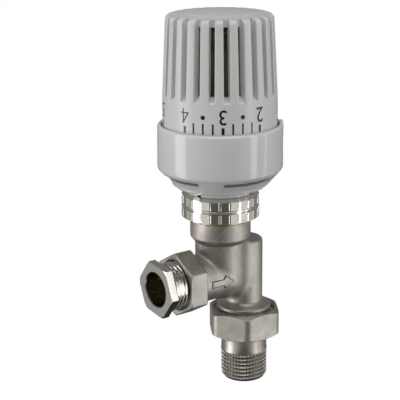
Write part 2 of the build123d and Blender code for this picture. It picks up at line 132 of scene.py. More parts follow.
def grid_faces(points, closed_rows=False, holes=()):
    """Quads over a (rows, columns) grid whose columns close. A hole (a, b, c, d, first, last)
    opens rows a to b over columns first to last, opens rows d to c on the inner side, where
    row a pairs with c and row b with d, and walls the gap between the two."""
    rows, columns = points.shape[:2]

    def at(row, column):
        return (row % rows) * columns + column % columns

    opened = set()
    walls = []
    for a, b, c, d, first, last in holes:
        for column in range(first, last):
            opened.update((row, column % columns) for row in range(a, b))
            opened.update((row, column % columns) for row in range(d, c))
            walls.append((at(a, column), at(a, column + 1), at(c, column + 1), at(c, column)))
            walls.append((at(b, column), at(b, column + 1), at(d, column + 1), at(d, column)))
        for step in range(b - a):
            for column in (first, last):
                outer = (at(a + step, column), at(a + step + 1, column))
                inner = (at(c - step - 1, column), at(c - step, column))
                walls.append(outer + inner)
    faces = []
    for row in range(rows if closed_rows else rows - 1):
        for column in range(columns):
            if (row, column) not in opened:
                faces.append((at(row, column), at(row, column + 1),
                              at(row + 1, column + 1), at(row + 1, column)))
    return faces + walls


def rings(rows, angle, axis_x=0.0):
    """A grid of points from rows of (radius, height) round a vertical axis; a radius is one
    number or one for each angle."""
    points = np.empty((len(rows), len(angle), 3))
    for index, (radius, height) in enumerate(rows):
        points[index, :, 0] = axis_x + radius * np.cos(angle)
        points[index, :, 1] = radius * np.sin(angle)
        points[index, :, 2] = height
    return points


def make_grid(name, points, material, sharp_degrees=32.0, closed_rows=True, holes=()):
    """An object from a grid of points whose columns close."""
    faces = grid_faces(points, closed_rows, holes)
    return make_object(name, points.reshape(-1, 3), faces, material, sharp_degrees)


def curve_through(start, corner, end, steps):
    """Points on the curve that leaves start and reaches end along its lines to a corner."""
    t = np.linspace(0, 1, steps)[:, None]
    return (1 - t) ** 2 * start + 2 * t * (1 - t) * corner + t ** 2 * end


# ---- Distance fields, for the forged body ----

def smooth_union(a, b, blend):
    """The union of two distance fields with a fillet between them."""
    h = np.clip(0.5 + 0.5 * (b - a) / blend, 0, 1)
    return b + (a - b) * h - blend * h * (1 - h)


def rounded_disc(radial, along, radius, low, high, edge):
    """Distance to a cylinder with rounded rims, from the distance to its axis."""
    middle, half = (low + high) / 2, (high - low) / 2
    out_radial = radial - radius + edge
    out_along = np.abs(along - middle) - half + edge
    outside = np.hypot(np.maximum(out_radial, 0), np.maximum(out_along, 0))
    return outside + np.minimum(np.maximum(out_radial, out_along), 0) - edge


def cone_limit(radial, along, foot, foot_radius, slope):
    """Distance to the inside of a cone that narrows by slope as along passes foot."""
    return (radial - foot_radius + slope * (along - foot)) / math.hypot(1, slope)


def surface_net(field, low, high, step):
    """A closed quad mesh of the zero level of a field, with its points pulled onto it."""
    sides = [np.arange(low[k], high[k] + step, step) for k in range(3)]
    grid = np.stack(np.meshgrid(*sides, indexing="ij"), axis=-1)
    values = field(grid[..., 0], grid[..., 1], grid[..., 2])
    cells = np.array(values.shape) - 1
    total, count = np.zeros((*cells, 3)), np.zeros(cells)
    crossed = [np.argwhere(np.diff(values < 0, axis=axis)) for axis in range(3)]

    def round_edge(edges, axis, offsets):
        """The cells at these offsets from the edges along an axis, across it."""
        for offset in offsets:
            yield edges + np.insert(offset, axis, 0)

    for axis, edges in enumerate(crossed):
        ends = edges + (np.arange(3) == axis)
        v0, v1 = values[tuple(edges.T)], values[tuple(ends.T)]
        place = grid[tuple(edges.T)]
        place[:, axis] += step * v0 / (v0 - v1)
        for cell in round_edge(edges, axis, ((0, 0), (0, -1), (-1, 0), (-1, -1))):
            fits = ((cell >= 0) & (cell < cells)).all(axis=1)
            where = tuple(cell[fits].T)
            np.add.at(total, where, place[fits])
            np.add.at(count, where, 1)
    active = count > 0
    number = -np.ones(count.shape, int)
    number[active] = np.arange(active.sum())
    points = total[active] / count[active][:, None]
    faces = []
    for axis, edges in enumerate(crossed):
        across = np.arange(3) != axis
        fits = ((edges > 0) & (edges < cells))[:, across].all(axis=1)
        corners = [number[tuple(cell.T)] for cell in
                   round_edge(edges[fits], axis, ((0, 0), (-1, 0), (-1, -1), (0, -1)))]
        faces.append(np.stack(corners, axis=1))
    for _ in range(3):
        value, slope = field_slope(field, points)
        length = np.maximum((slope ** 2).sum(axis=1), 0.2)
        points -= np.clip(value / length, -step / 2, step / 2)[:, None] * slope
    return points, np.concatenate(faces)


def field_slope(field, points, reach=0.02):
    """A field's value and gradient at points."""
    value = field(*points.T)
    slope = np.empty_like(points)
    for axis in range(3):
        ahead, behind = points.copy(), points.copy()
        ahead[:, axis] += reach
        behind[:, axis] -= reach
        slope[:, axis] = (field(*ahead.T) - field(*behind.T)) / (2 * reach)
    return value, slope


# ---- Materials -------------------------------

NOISE_LOW, NOISE_HIGH = 0.3, 0.7      # where most of a noise texture's values lie


def add_node(owner, kind, inputs=(), **settings):
    """A new node of a material or world; inputs holds plain values or other nodes' outputs."""
    node = owner.node_tree.nodes.new("ShaderNode" + kind)
    for name, value in settings.items():
        setattr(node, name, value)
    for socket, value in dict(inputs).items():
        if isinstance(value, bpy.types.NodeSocket):
            owner.node_tree.links.new(value, node.inputs[socket])
        else:
            node.inputs[socket].default_value = value
    return node


def surface_of(material):
    """The material's principled shader."""
    return material.node_tree.nodes["Principled BSDF"]


def paint(material, value, socket):
    """Links an output to a named input of the material's shader."""
    material.node_tree.links.new(value, surface_of(material).inputs[socket])


def shader(name, color, metallic=0.0, roughness=0.4, coat=0.0):
    """A node material with its principled shader."""
    material = bpy.data.materials.new(name)
    material.use_nodes = True
    inputs = surface_of(material).inputs
    inputs["Base Color"].default_value = (*color, 1)
    inputs["Metallic"].default_value = metallic
    inputs["Roughness"].default_value = roughness
    inputs["Coat Weight"].default_value = coat
    return material


def noise(material, scale, detail=3.0, roughness=0.55, stretch=None):
    """A noise texture in object space, in features per metre, stretched if asked."""
    place = add_node(material, "TexCoord").outputs["Object"]
    if stretch:
        mapping = add_node(material, "Mapping", {"Vector": place, "Scale": stretch})
        place = mapping.outputs["Vector"]
    inputs = {"Vector": place, "Scale": scale, "Detail": detail, "Roughness": roughness}
    return add_node(material, "TexNoise", inputs).outputs["Fac"]


def remap(owner, value, out_low, out_high, low=NOISE_LOW, high=NOISE_HIGH):
    """A value of a material or world mapped from the range low to high, clamped."""
    inputs = {"Value": value, "From Min": low, "From Max": high,
              "To Min": out_low, "To Max": out_high}
    return add_node(owner, "MapRange", inputs).outputs["Result"]


def two_colors(material, value, first, second):
    """A colour that runs from first to second as value goes from 0 to 1."""
    ramp = add_node(material, "ValToRGB", {"Fac": value})
    ramp.color_ramp.elements[0].color = (*first, 1)
    ramp.color_ramp.elements[1].color = (*second, 1)
    return ramp.outputs["Color"]


def color_mix(owner, factor, first, second, blend="MIX"):
    """Two colours mixed by a factor."""
    inputs = {"Factor": factor, "A": first, "B": second}
    return add_node(owner, "Mix", inputs, data_type="RGBA", blend_type=blend).outputs["Result"]


def bump(material, height, strength, distance, before=None):
    """A bump of a height in millimetres; returns the normal it gives."""
    inputs = {"Height": height, "Strength": strength, "Distance": distance * MM}
    if before:
        inputs["Normal"] = before
    return add_node(material, "Bump", inputs).outputs["Normal"]


def blasted_nickel(name, smoothest, roughest, pitting):
    """Bead-blasted nickel plating on brass: fine pitting and faint warm patches."""
    material = shader(name, (0.5, 0.47, 0.43), metallic=1.0, roughness=0.45)
    patches = noise(material, 180, detail=4)
    grain = noise(material, 1300, detail=3, roughness=0.75)
    cloud = two_colors(material, remap(material, patches, 0, 1),
                       (0.42, 0.395, 0.355), (0.56, 0.53, 0.48))
    speckle = two_colors(material, remap(material, grain, 0, 1),
                         (0.78, 0.77, 0.76), (1.0, 1.0, 1.0))
    paint(material, color_mix(material, 1.0, cloud, speckle, "MULTIPLY"), "Base Color")
    paint(material, remap(material, grain, smoothest, roughest), "Roughness")
    fine = bump(material, grain, pitting, 0.12)
    coarse = bump(material, noise(material, 500, detail=2), pitting * 0.5, 0.12, fine)
    paint(material, coarse, "Normal")
    return material


def knurled_nickel():
    """Plated thread: plain on its crests, with painted shade that darkens it down in its grooves."""
    material = blasted_nickel("knurled_nickel", 0.3, 0.4, 0.05)
    plain = surface_of(material).inputs["Base Color"].links[0].from_socket
    place = add_node(material, "TexCoord").outputs["Object"]
    level = add_node(material, "VectorMath", {0: place, 1: (1, 1, 0)}, operation="MULTIPLY")
    from_axis = add_node(material, "VectorMath", {0: level.outputs["Vector"]},
                         operation="LENGTH")
    # Painted shade: points nearer the axis than the crests run to a dark colour, standing in for the shade in the
    # grooves.
    shaded_below, lit_above = 9.55 * MM, 10.1 * MM
    crest = remap(material, from_axis.outputs["Value"], 0.0, 1.0, shaded_below, lit_above)
    groove_shade = (0.13, 0.115, 0.095, 1)
    paint(material, color_mix(material, crest, groove_shade, plain), "Base Color")
    return material


def bright_nickel(name, stretch, color=(0.72, 0.69, 0.63)):
    """Turned and plated metal: bright, with fine tool lines round its axis."""
    material = shader(name, color, metallic=1.0, roughness=0.14)
    lines = noise(material, 700, detail=2, stretch=stretch)
    paint(material, remap(material, lines, 0.09, 0.2), "Roughness")
    paint(material, bump(material, lines, 0.18, 0.02), "Normal")
    return material


def bare_brass():
    """Machined brass with faint darker stains."""
    material = shader("bare_brass", (0.72, 0.50, 0.20), metallic=1.0, roughness=0.25)
    stain = noise(material, 220, detail=4)
    tint = two_colors(material, stain, (0.52, 0.34, 0.12), (0.78, 0.57, 0.25))
    paint(material, tint, "Base Color")
    paint(material, remap(material, stain, 0.18, 0.36), "Roughness")
    return material


def white_plastic(name, color, roughness, grain_height, coat):
    """Moulded plastic with a little unevenness in its gloss and a faint cloudiness."""
    material = shader(name, color, roughness=roughness, coat=coat)
    surface = surface_of(material)
    surface.inputs["Coat Roughness"].default_value = 0.06
    surface.inputs["Subsurface Weight"].default_value = 0.08
    surface.inputs["Subsurface Radius"].default_value = (0.0012, 0.0011, 0.001)
    darker = tuple(c * 0.965 for c in color)
    tint = two_colors(material, noise(material, 60, detail=2), darker, color)
    paint(material, tint, "Base Color")
    gloss = remap(material, noise(material, 900), roughness * 0.85, roughness * 1.2)
    paint(material, gloss, "Roughness")
    grain = bump(material, noise(material, 1800, detail=2), 0.25, grain_height)
    paint(material, grain, "Normal")
    return material


def plain_plastic(name, color, roughness=0.45):
    """Dull plastic with a cloudy colour and a fine grain."""
    material = shader(name, color, roughness=roughness)
    tint = two_colors(material, noise(material, 150), tuple(c * 0.85 for c in color), color)
    paint(material, tint, "Base Color")
    paint(material, bump(material, noise(material, 1500), 0.3, 0.02), "Normal")
    return material


def capsule_metal():
    """The capsule's lacquered bronze shell, with streaks down its length."""
    material = shader("capsule_bronze", (0.25, 0.2, 0.13), metallic=0.2, roughness=0.6)
    streaks = noise(material, 400, stretch=(1, 1, 0.08))
    tint = two_colors(material, streaks, (0.17, 0.135, 0.085), (0.32, 0.26, 0.17))
    paint(material, tint, "Base Color")
    return material


def black_rubber():
    """Rubber with a fine uneven skin."""
    material = shader("black_rubber", (0.02, 0.02, 0.02), roughness=0.6)
    paint(material, bump(material, noise(material, 1200), 0.4, 0.03), "Normal")
    return material


def dial_ink():
    """Black print, slightly uneven in its cover."""
    material = shader("dial_ink", (0.012, 0.012, 0.013), roughness=0.25)
    cover = noise(material, 2500, detail=2)
    tint = two_colors(material, cover, (0.008, 0.008, 0.009), (0.022, 0.022, 0.024))
    paint(material, tint, "Base Color")
    return material


satin = blasted_nickel("blasted_nickel", 0.38, 0.54, 0.8)
knurl = knurled_nickel()
# A dark dull plastic that stands in for shade: painted shade in the collar's slit and round the flow arrow.
painted_shade = plain_plastic("painted_shade", (0.03, 0.026, 0.02), roughness=0.9)
round_z = bright_nickel("turned_nickel", (0.04, 0.04, 1.0))
round_x = bright_nickel("turned_nickel_inlet", (1.0, 0.04, 0.04), color=(0.62, 0.60, 0.56))
steel = bright_nickel("stainless", (0.05, 0.05, 1.0), color=(0.62, 0.62, 0.63))
brass = bare_brass()
gloss_white = white_plastic("gloss_white", (0.74, 0.755, 0.745), 0.16, 0.004, 0.35)
satin_white = white_plastic("satin_white", (0.76, 0.765, 0.75), 0.3, 0.006, 0.15)
grey_plastic = plain_plastic("grey_plastic", (0.17, 0.14, 0.10))
bronze = capsule_metal()
rubber = black_rubber()
ink = dial_ink()

CAD_MATERIALS = {
    "satin_nickel": satin,
    "bright_nickel": round_z,
    "bare_brass": brass,
    "stainless": steel,
    "black_rubber": rubber,
    "white_gloss": gloss_white,
    "white_satin": satin_white,
    "grey_plastic": grey_plastic,
    "capsule_shell": bronze,
}


def dress_cad_nodes():
    """Every CAD node takes its slot's material and smooth shading; the gland nut's tool
    lines run round the inlet axis."""
    slots = {part["node"]: part["material_slot"] for part in frame["record"]["subparts"]}
    for name, node in frame["nodes"].items():
        node.data.materials.clear()
        node.data.materials.append(CAD_MATERIALS[slots[name]])
        node.data.shade_smooth()
        node.data.set_sharp_from_angle(angle=math.radians(30))
    frame["nodes"]["gland_nut"].data.materials[0] = round_x


# ---- Handwheel -------------------------------

RIBS = 24
RIB_PITCH = 2 * math.pi / RIBS
SLOT_MOUTH = 24.6                         # the wheel's radius where the slots begin
SLOT_FLOOR = wheel_low + 25.1             # and the height of that place
SLOT_RISE = math.tan(math.radians(31.5))  # slope of the slot's foot
SLOT_DEPTH, FOOT_RISE = 3.155, 1.93       # the slot's depth, and the height it takes to get there
DRAFT = 0.0486                            # how far the slot's back leans in
SLOT_HALF, SLOT_FLARE = 1.13, 0.05
RIB_ROUND, ROOT_ROUND = 0.5, 0.1
WINDOW_LOW = wheel_low + 27.6             # the air slot through the back of each slot
WINDOW_HIGH = wheel_low + 56.0
WINDOW_HALF = 1.08
SKIRT_FOOT = 24.7                         # radius of the plain skirt at the base's rim
BORE = 20.6
CROWN_EDGE, CROWN_ROUND = 19.4, 3.6


def slot_half(x, slot_deep):
    """Half the slot's width at a depth, for a slot whose back is at slot_deep."""
    return SLOT_HALF + SLOT_FLARE * (x - slot_deep)


def rib_contour(radius, back, slot_deep):
    """One rib pitch of the wheel's cross-section, from rib centre to rib centre, symmetric
    about the slot at angle 0, whose floor is at x = back."""
    depth = max(radius - max(back, slot_deep), 0.02)
    floor = radius - depth
    mouth = floor
    for _ in range(20):
        mouth = math.sqrt(max(radius ** 2 - slot_half(mouth, slot_deep) ** 2, 0.01))
    corner = np.array([mouth, slot_half(mouth, slot_deep)])
    foot = np.array([floor, slot_half(floor, slot_deep)])
    rounding = min(RIB_ROUND, 0.45 * depth)
    inner = min(ROOT_ROUND, 0.3 * depth)
    wall = corner - foot
    wall = wall / max(np.linalg.norm(wall), 1e-6)
    edge = np.array([floor, min(WINDOW_HALF, foot[1] - 0.02)])
    fillet_in = curve_through(edge, foot, foot + wall * inner, 3)
    past = math.atan2(corner[1], corner[0]) + rounding / radius
    after = np.array([radius * math.cos(past), radius * math.sin(past)])
    fillet_out = curve_through(corner - wall * rounding, corner, after, 6)
    arc = np.linspace(past, RIB_PITCH / 2, 5)[1:]
    land = radius * np.stack([np.cos(arc), np.sin(arc)], axis=1)
    half = np.concatenate([[[floor, 0.0]], fillet_in, fillet_out, land])
    mirrored = half[1:][::-1] * (1, -1)
    return np.concatenate([mirrored, half[:-1]])


def wheel_row(radius, height, slotted=True):
    """A closed ring of points round the wheel at one height."""
    slot_deep = SLOT_MOUTH - SLOT_DEPTH - DRAFT * (height - SLOT_FLOOR - FOOT_RISE)
    back = SLOT_MOUTH - (height - SLOT_FLOOR) / SLOT_RISE
    if not slotted:
        slot_deep, back = SLOT_MOUTH - SLOT_DEPTH, SLOT_MOUTH
    contour = rib_contour(radius if slotted else SLOT_MOUTH, back, slot_deep)
    ring = []
    for rib in range(RIBS):
        turn = FRONT + (rib + 0.5) * RIB_PITCH
        c, s = math.cos(turn), math.sin(turn)
        ring.append(np.stack([contour[:, 0] * c - contour[:, 1] * s,
                              contour[:, 0] * s + contour[:, 1] * c], axis=1))
    flat = np.concatenate(ring)
    if not slotted:
        flat = flat / np.linalg.norm(flat, axis=1)[:, None] * radius
    return np.column_stack([flat[:, 0] + head_x, flat[:, 1], np.full(len(flat), height)])


def build_handwheel():
    """The cap as one closed grid: down over the crown, ribs and skirt, then up its inside."""
    side_top = wheel_high - 3.8
    crown = wheel_high - 1.15
    rib_lean = (SLOT_MOUTH - CROWN_EDGE - CROWN_ROUND) / (side_top - SLOT_FLOOR)

    def plain(*corners):
        rows.extend(wheel_row(radius, height, slotted=False) for radius, height in corners)

    def ribbed(height):
        rows.append(wheel_row(SLOT_MOUTH - rib_lean * (height - SLOT_FLOOR), height))

    rows = []
    plain((0.02, wheel_high), (6, wheel_high - 0.1), (12, wheel_high - 0.42),
          (16.6, wheel_high - 0.8), (17.0, wheel_high - 0.95), (17.4, wheel_high - 0.93))
    for step in range(13):
        lean = math.radians(max(90 - 7.5 * step, 0))
        height = side_top + (crown - side_top) * math.sin(lean) ** 0.8
        rows.append(wheel_row(CROWN_EDGE + CROWN_ROUND * math.cos(lean) ** 0.6, height))
    window_first = len(rows)
    window = [WINDOW_HIGH + (WINDOW_LOW - WINDOW_HIGH) * k / 6 for k in range(7)]
    for height in window:
        ribbed(height)
    window_last = len(rows) - 1
    for step in range(13):
        ribbed(SLOT_FLOOR + 2.4 - 0.2 * step)
    low = wheel_low
    plain((SKIRT_FOOT, rim_high), (25.0, low + 0.3), (24.8, low), (23.3, low), (23.1, low + 0.3),
          (22.8, low + 22.3), (BORE, low + 22.3), (BORE, low + 6), (19.0, low + 6),
          (19.0, low + 24.2), (19.9, low + 25.1))
    inner_first = len(rows)
    for height in reversed(window):
        plain((BORE - 0.05 * (height - SLOT_FLOOR), height))
    inner_last = len(rows) - 1
    plain((18.3, low + 56.1), (17.3, low + 57.1), (8, low + 57.9), (0.02, low + 58.2))
    points = np.stack(rows)
    per_rib = points.shape[1] // RIBS
    holes = []
    for rib in range(RIBS):
        centre = rib * per_rib + per_rib // 2
        holes.append((window_first, window_last, inner_last, inner_first, centre - 1, centre + 1))
    wheel = make_grid("ribbed_handwheel", points, satin_white, closed_rows=False, holes=holes)
    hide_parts("handwheel")
    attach(wheel, "handwheel")


# ---- Base shell ------------------------------

PILLAR = math.radians(-137.3)             # bearing of one of the four pillars
PILLAR_HALF, RECESS_EASE = 9.4, 2.2       # degrees
NOTCHES = ((52, 100), (-106, -58))        # degrees from FRONT, in the lower collar
NOTCH_TOP = 90.1
SLIT, SLIT_HALF = -34.0, 3.6
SLIT_TOP = 90.9


def recess_weight(bearing, corner=0.0):
    """1 inside one of the four recesses between the pillars, 0 on the pillars."""
    local = (math.degrees(bearing - PILLAR) + 45) % 90 - 45
    ease = np.clip((abs(local) - PILLAR_HALF - corner) / RECESS_EASE, 0, 1)
    return float(ease ** 2 * (3 - 2 * ease))


def base_bearings():
    """Bearings round the base: an even spread with doubled lines at the steps."""
    lines = [k * 1.5 for k in range(240)]
    steps = [SLIT - SLIT_HALF, SLIT + SLIT_HALF]
    for low, high in NOTCHES:
        steps += [low, high]
    relative = [line for line in lines
                if all(abs((line - step + 180) % 360 - 180) > 0.7 for step in steps)]
    for step in steps:
        relative += [step - 0.15, step + 0.15]
    return [FRONT + math.radians(value) for value in sorted(v % 360 for v in relative)]


def base_profile(bearing):
    """The closed section of the base at a bearing, as (radius, height) points."""
    relative = (math.degrees(bearing - FRONT) + 180) % 360 - 180
    step = rim_high - 19.0
    collar = [(15.2, 88.9), (15.3, 88.85), (15.9, 88.87), (16.0, 89.9), (17.2, 90.2),
              (19.5, 90.95), (20.2, 91.5)]
    pillar = collar + [
        (21.0, 92.15), (21.25, 92.45), (21.6, 92.85), (23.0, 94.45), (24.35, 96.0), (24.95, 96.7),
        (25.3, 97.1), (25.8, 97.7), (26.4, 98.4), (26.9, 98.95), (27.1, 99.35), (27.2, step + 0.7),
    ]
    recess = collar + [
        (20.9, 92.0), (20.85, 92.3), (20.95, 92.8), (21.9, 94.3), (22.8, 95.5), (23.8, 97.0),
        (24.4, 97.2), (25.6, 97.6), (26.2, 98.2), (26.85, 98.85), (27.1, 99.3), (27.2, step + 0.7),
    ]
    corner = [0] * 7 + [1.6, 1.2, 0.8, 0.3] + [0] * 8
    outer = []
    for index, (p, r) in enumerate(zip(pillar, recess)):
        w = recess_weight(bearing, corner[index])
        outer.append([p[0] + (r[0] - p[0]) * w, p[1] + (r[1] - p[1]) * w])
    rim = rim_high
    rest = [
        (27.15, 105.0), (27.05, 112.0), (27.0, rim - 1.5), (26.93, rim - 0.95),
        (26.7, rim - 0.45), (26.3, rim - 0.12), (25.9, rim), (25.6, rim - 0.06),
        (25.47, rim - 0.25), (25.45, rim - 1.0), (25.45, 110.0), (25.45, 101.2), (23.0, 98.9),
        (22.2, 97.9), (20.7, 96.1), (17.6, 92.4), (9.0, 92.4), (9.0, 86.8), (14.4, 86.8),
        (14.4, 88.2), (12.8, 88.2), (12.8, 89.65), (15.15, 89.65),
    ]
    if any(first < relative < last for first, last in NOTCHES):
        for point in outer[:4]:
            point[1] = NOTCH_TOP
        rest[-1] = (15.1, NOTCH_TOP)
    if abs(relative - SLIT) < SLIT_HALF:
        for point in outer[:5]:
            point[1] = SLIT_TOP
        rest[-2:] = [(12.9, SLIT_TOP), (14.0, SLIT_TOP)]
    return outer + rest


def build_base():
    """The shell, with an air gap through the top of each recess."""
    bearings = base_bearings()
    columns = len(bearings)
    sections = np.array([base_profile(bearing) for bearing in bearings])
    rows = [(sections[:, row, 0], sections[:, row, 1]) for row in range(sections.shape[1])]
    points = rings(rows, np.array(bearings), head_x)
    gap_low, gap_high = 11, 12            # the gap's rows on the outer side
    inner_high, inner_low = 32, 33        # and on the inner side
    open_columns = [recess_weight(bearing, 1.4) > 0.98 for bearing in bearings]
    holes = []
    column = 0
    while column < columns:
        if open_columns[column] and not open_columns[column - 1]:
            last = column
            while open_columns[(last + 1) % columns]:
                last += 1
            holes.append((gap_low, gap_high, inner_low, inner_high, column, last))
            column = last
        column += 1
    return make_grid("base_shell_moulding", points, gloss_white, holes=holes)


def build_pointer():
    """The setting mark: a small rounded tab that stands over the rim."""
    bearing, radius = math.radians(-33.0), 26.45
    work = bmesh.new()
    bmesh.ops.create_cube(work, size=1.0)
    bmesh.ops.scale(work, vec=(1.5, 4.5, 7.4), verts=work.verts)
    bmesh.ops.bevel(work, geom=work.edges[:], offset=0.55, segments=4, profile=0.5, affect="EDGES")
    bmesh.ops.rotate(work, matrix=Matrix.Rotation(bearing, 3, "Z"), verts=work.verts)
    centre = Vector((head_x + radius * math.cos(bearing), radius * math.sin(bearing),
                     base_high - 4.5))
    bmesh.ops.translate(work, vec=centre, verts=work.verts)
    bmesh.ops.scale(work, vec=(MM, MM, MM), verts=work.verts)
    mesh = bpy.data.meshes.new("setting_mark")
    work.to_mesh(mesh)
    work.free()
    mesh.shade_smooth()
    mesh.materials.append(gloss_white)
    return add_object("setting_mark", mesh)


def build_slit_back():
    """A dark plate in the small slit of the lower collar: painted shade where the slit's back lies in shadow."""
    bearing = FRONT + math.radians(SLIT)
    out = np.array([math.cos(bearing), math.sin(bearing)])
    side = np.array([-out[1], out[0]])
    points = []
    for radius in (14.8, 15.1):
        for across in (-1.05, 1.05):
            for height in (88.95, 90.85):
                x, y = out * radius + side * across
                points.append((head_x + x, y, height))
    faces = [(0, 1, 3, 2), (4, 6, 7, 5), (0, 4, 5, 1), (2, 3, 7, 6), (0, 2, 6, 4), (1, 5, 7, 3)]
    back = make_object("slit_shade_plate", points, faces, painted_shade)
    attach(back, "valve_set")


# ---- Dial print ------------------------------

STEP_DEGREES = 39.0       # between two figures
THREE_BEARING = 3.4       # degrees from FRONT to the figure 3
FIGURE_MIDDLE = wheel_low + 19.7
INK_LIFT, INK_THICKNESS = 0.03, 0.05


def skirt_radius(height):
    """Outer radius of the wheel's plain skirt at a height."""
    share = (height - rim_high) / (SLOT_FLOOR - rim_high)
    return SKIRT_FOOT + (SLOT_MOUTH - SKIRT_FOOT) * share


def wrap_on_skirt(flat_points, relative):
    """Bends a flat print (x to the viewer's right, y up, in millimetres) onto the skirt."""
    points = []
    for x, height in flat_points:
        radius = skirt_radius(height) + INK_LIFT
        bearing = FRONT + math.radians(relative) + x / radius
        points.append((head_x + radius * math.cos(bearing), radius * math.sin(bearing), height))
    return points


def tick_mesh(width, low, high):
    """A flat tick with a few columns so that it bends round the skirt."""
    columns = 4
    xs = [width * (k / columns - 0.5) for k in range(columns + 1)]
    points = [(x, low) for x in xs] + [(x, high) for x in xs]
    faces = [(k, k + 1, k + columns + 2, k + columns + 1) for k in range(columns)]
    return points, faces


def dot_mesh(radius, height):
    """A flat round dot."""
    points = [(0.0, height)]
    sides = 32
    for k in range(sides):
        turn = 2 * math.pi * k / sides
        points.append((radius * math.cos(turn), height + radius * math.sin(turn)))
    faces = [(0, 1 + k, 1 + (k + 1) % sides) for k in range(sides)]
    return points, faces


def figure_mesh(text, tall):
    """A figure turned upside down, as a flat mesh centred on x 0."""
    curve = bpy.data.curves.new("figure", "FONT")
    curve.body = text
    curve.size = 10.0
    curve.resolution_u = 8
    curve.offset = 0.04
    holder = add_object("figure", curve)
    bpy.context.view_layer.update()
    work = bmesh.new()
    work.from_mesh(bpy.data.meshes.new_from_object(holder))
    refine(work, 1, grid_fill=False)
    points, faces = take_mesh(work)
    points = np.array(points)[:, :2]
    bpy.data.objects.remove(holder)
    low, high = points.min(axis=0), points.max(axis=0)
    scale = tall / (high[1] - low[1])
    flipped = -(points - (low + high) / 2) * (scale * 0.92, scale)
    flipped[:, 1] += FIGURE_MIDDLE
    return [tuple(p) for p in flipped], faces


FOUR = (((0.7, -3.15), (0.7, 3.15)), ((0.95, 3.1), (-1.75, -1.35)),
        ((-2.0, -1.35), (1.9, -1.35)))


def four_mesh(stroke=0.62):
    """The figure 4 turned upside down, from its three strokes."""
    points, faces = [], []
    for start, end in FOUR:
        start, end = np.array(start), np.array(end)
        along = (end - start) / np.linalg.norm(end - start)
        side = np.array([-along[1], along[0]]) * stroke / 2
        first = len(points)
        for t in np.linspace(0, 1, 5):
            centre = start + (end - start) * t
            for point in (centre - side, centre + side):
                points.append((-point[0], FIGURE_MIDDLE - point[1]))
        faces += [(k, k + 1, k + 3, k + 2) for k in range(first, first + 8, 2)]
    return points, faces


def closed_print(points, faces):
    """Gives a print a thickness inwards, so that it is a closed thin solid."""
    work = bmesh.new()
    verts = [work.verts.new(p) for p in points]
    for face in faces:
        work.faces.new([verts[k] for k in face])
    bmesh.ops.remove_doubles(work, verts=work.verts, dist=1e-4)
    bmesh.ops.recalc_face_normals(work, faces=work.faces)
    bmesh.ops.solidify(work, geom=work.faces[:], thickness=INK_THICKNESS)
    return take_mesh(work)


def build_dial():
    """Figures 1 to 5 over a thick tick each, and thin ticks round a dot between 2, 3 and 4."""
    tick_low = rim_high + 0.2
    dot_height = wheel_low + 19.6
    ticks, tick_faces = [], []

    def put(flat, relative):
        """Adds a flat tick or dot to the one mesh of them all."""
        start = len(ticks)
        ticks.extend(wrap_on_skirt(flat[0], relative))
        tick_faces.extend(tuple(start + k for k in face) for face in flat[1])

    pieces = []
    for setting in (1, 2, 3, 4, 5):
        relative = THREE_BEARING - (setting - 3) * STEP_DEGREES
        points, faces = four_mesh() if setting == 4 else figure_mesh(str(setting), 6.3)
        pieces.append((f"figure_{setting}", wrap_on_skirt(points, relative), faces))
        put(tick_mesh(1.25, tick_low, tick_low + 2.9), relative)
        if setting in (2, 3):
            for quarter in (1, 2, 3):
                put(tick_mesh(0.75, tick_low, tick_low + 4.5),
                    relative - quarter * STEP_DEGREES / 4)
            put(dot_mesh(0.95, dot_height), relative - STEP_DEGREES / 2)
    pieces.append(("dial_ticks", ticks, tick_faces))
    for name, points, faces in pieces:
        print_piece = make_object(name, *closed_print(points, faces), ink)
        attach(print_piece, "handwheel")


# ---- Valve body ------------------------------

PIPE_R = mounts["pipe_inlet"]["dims"]["r_mm"]
HEX_FRONT, HEX_BACK, HEX_CORNER = -38.3, -29.5, 14.5
HEX_APOTHEM, HEX_SHARPNESS = 12.5, 5.0
NECK_R, NECK_LOW = 13.3, 66.1
HOUSING_R, BRANCH_R, RISER_R, COLLAR_R = 11.2, 10.4, 8.3, 12.3
OUTLET_R, OUTLET_THREAD_R = 11.9, 13.2
SOCKET_R, SEAT_R, CHAMBER_R, BONNET_R, RISER_BORE, SPIGOT_R = 10.53, 5.0, 9.6, 11.05, 5.8, 9.2


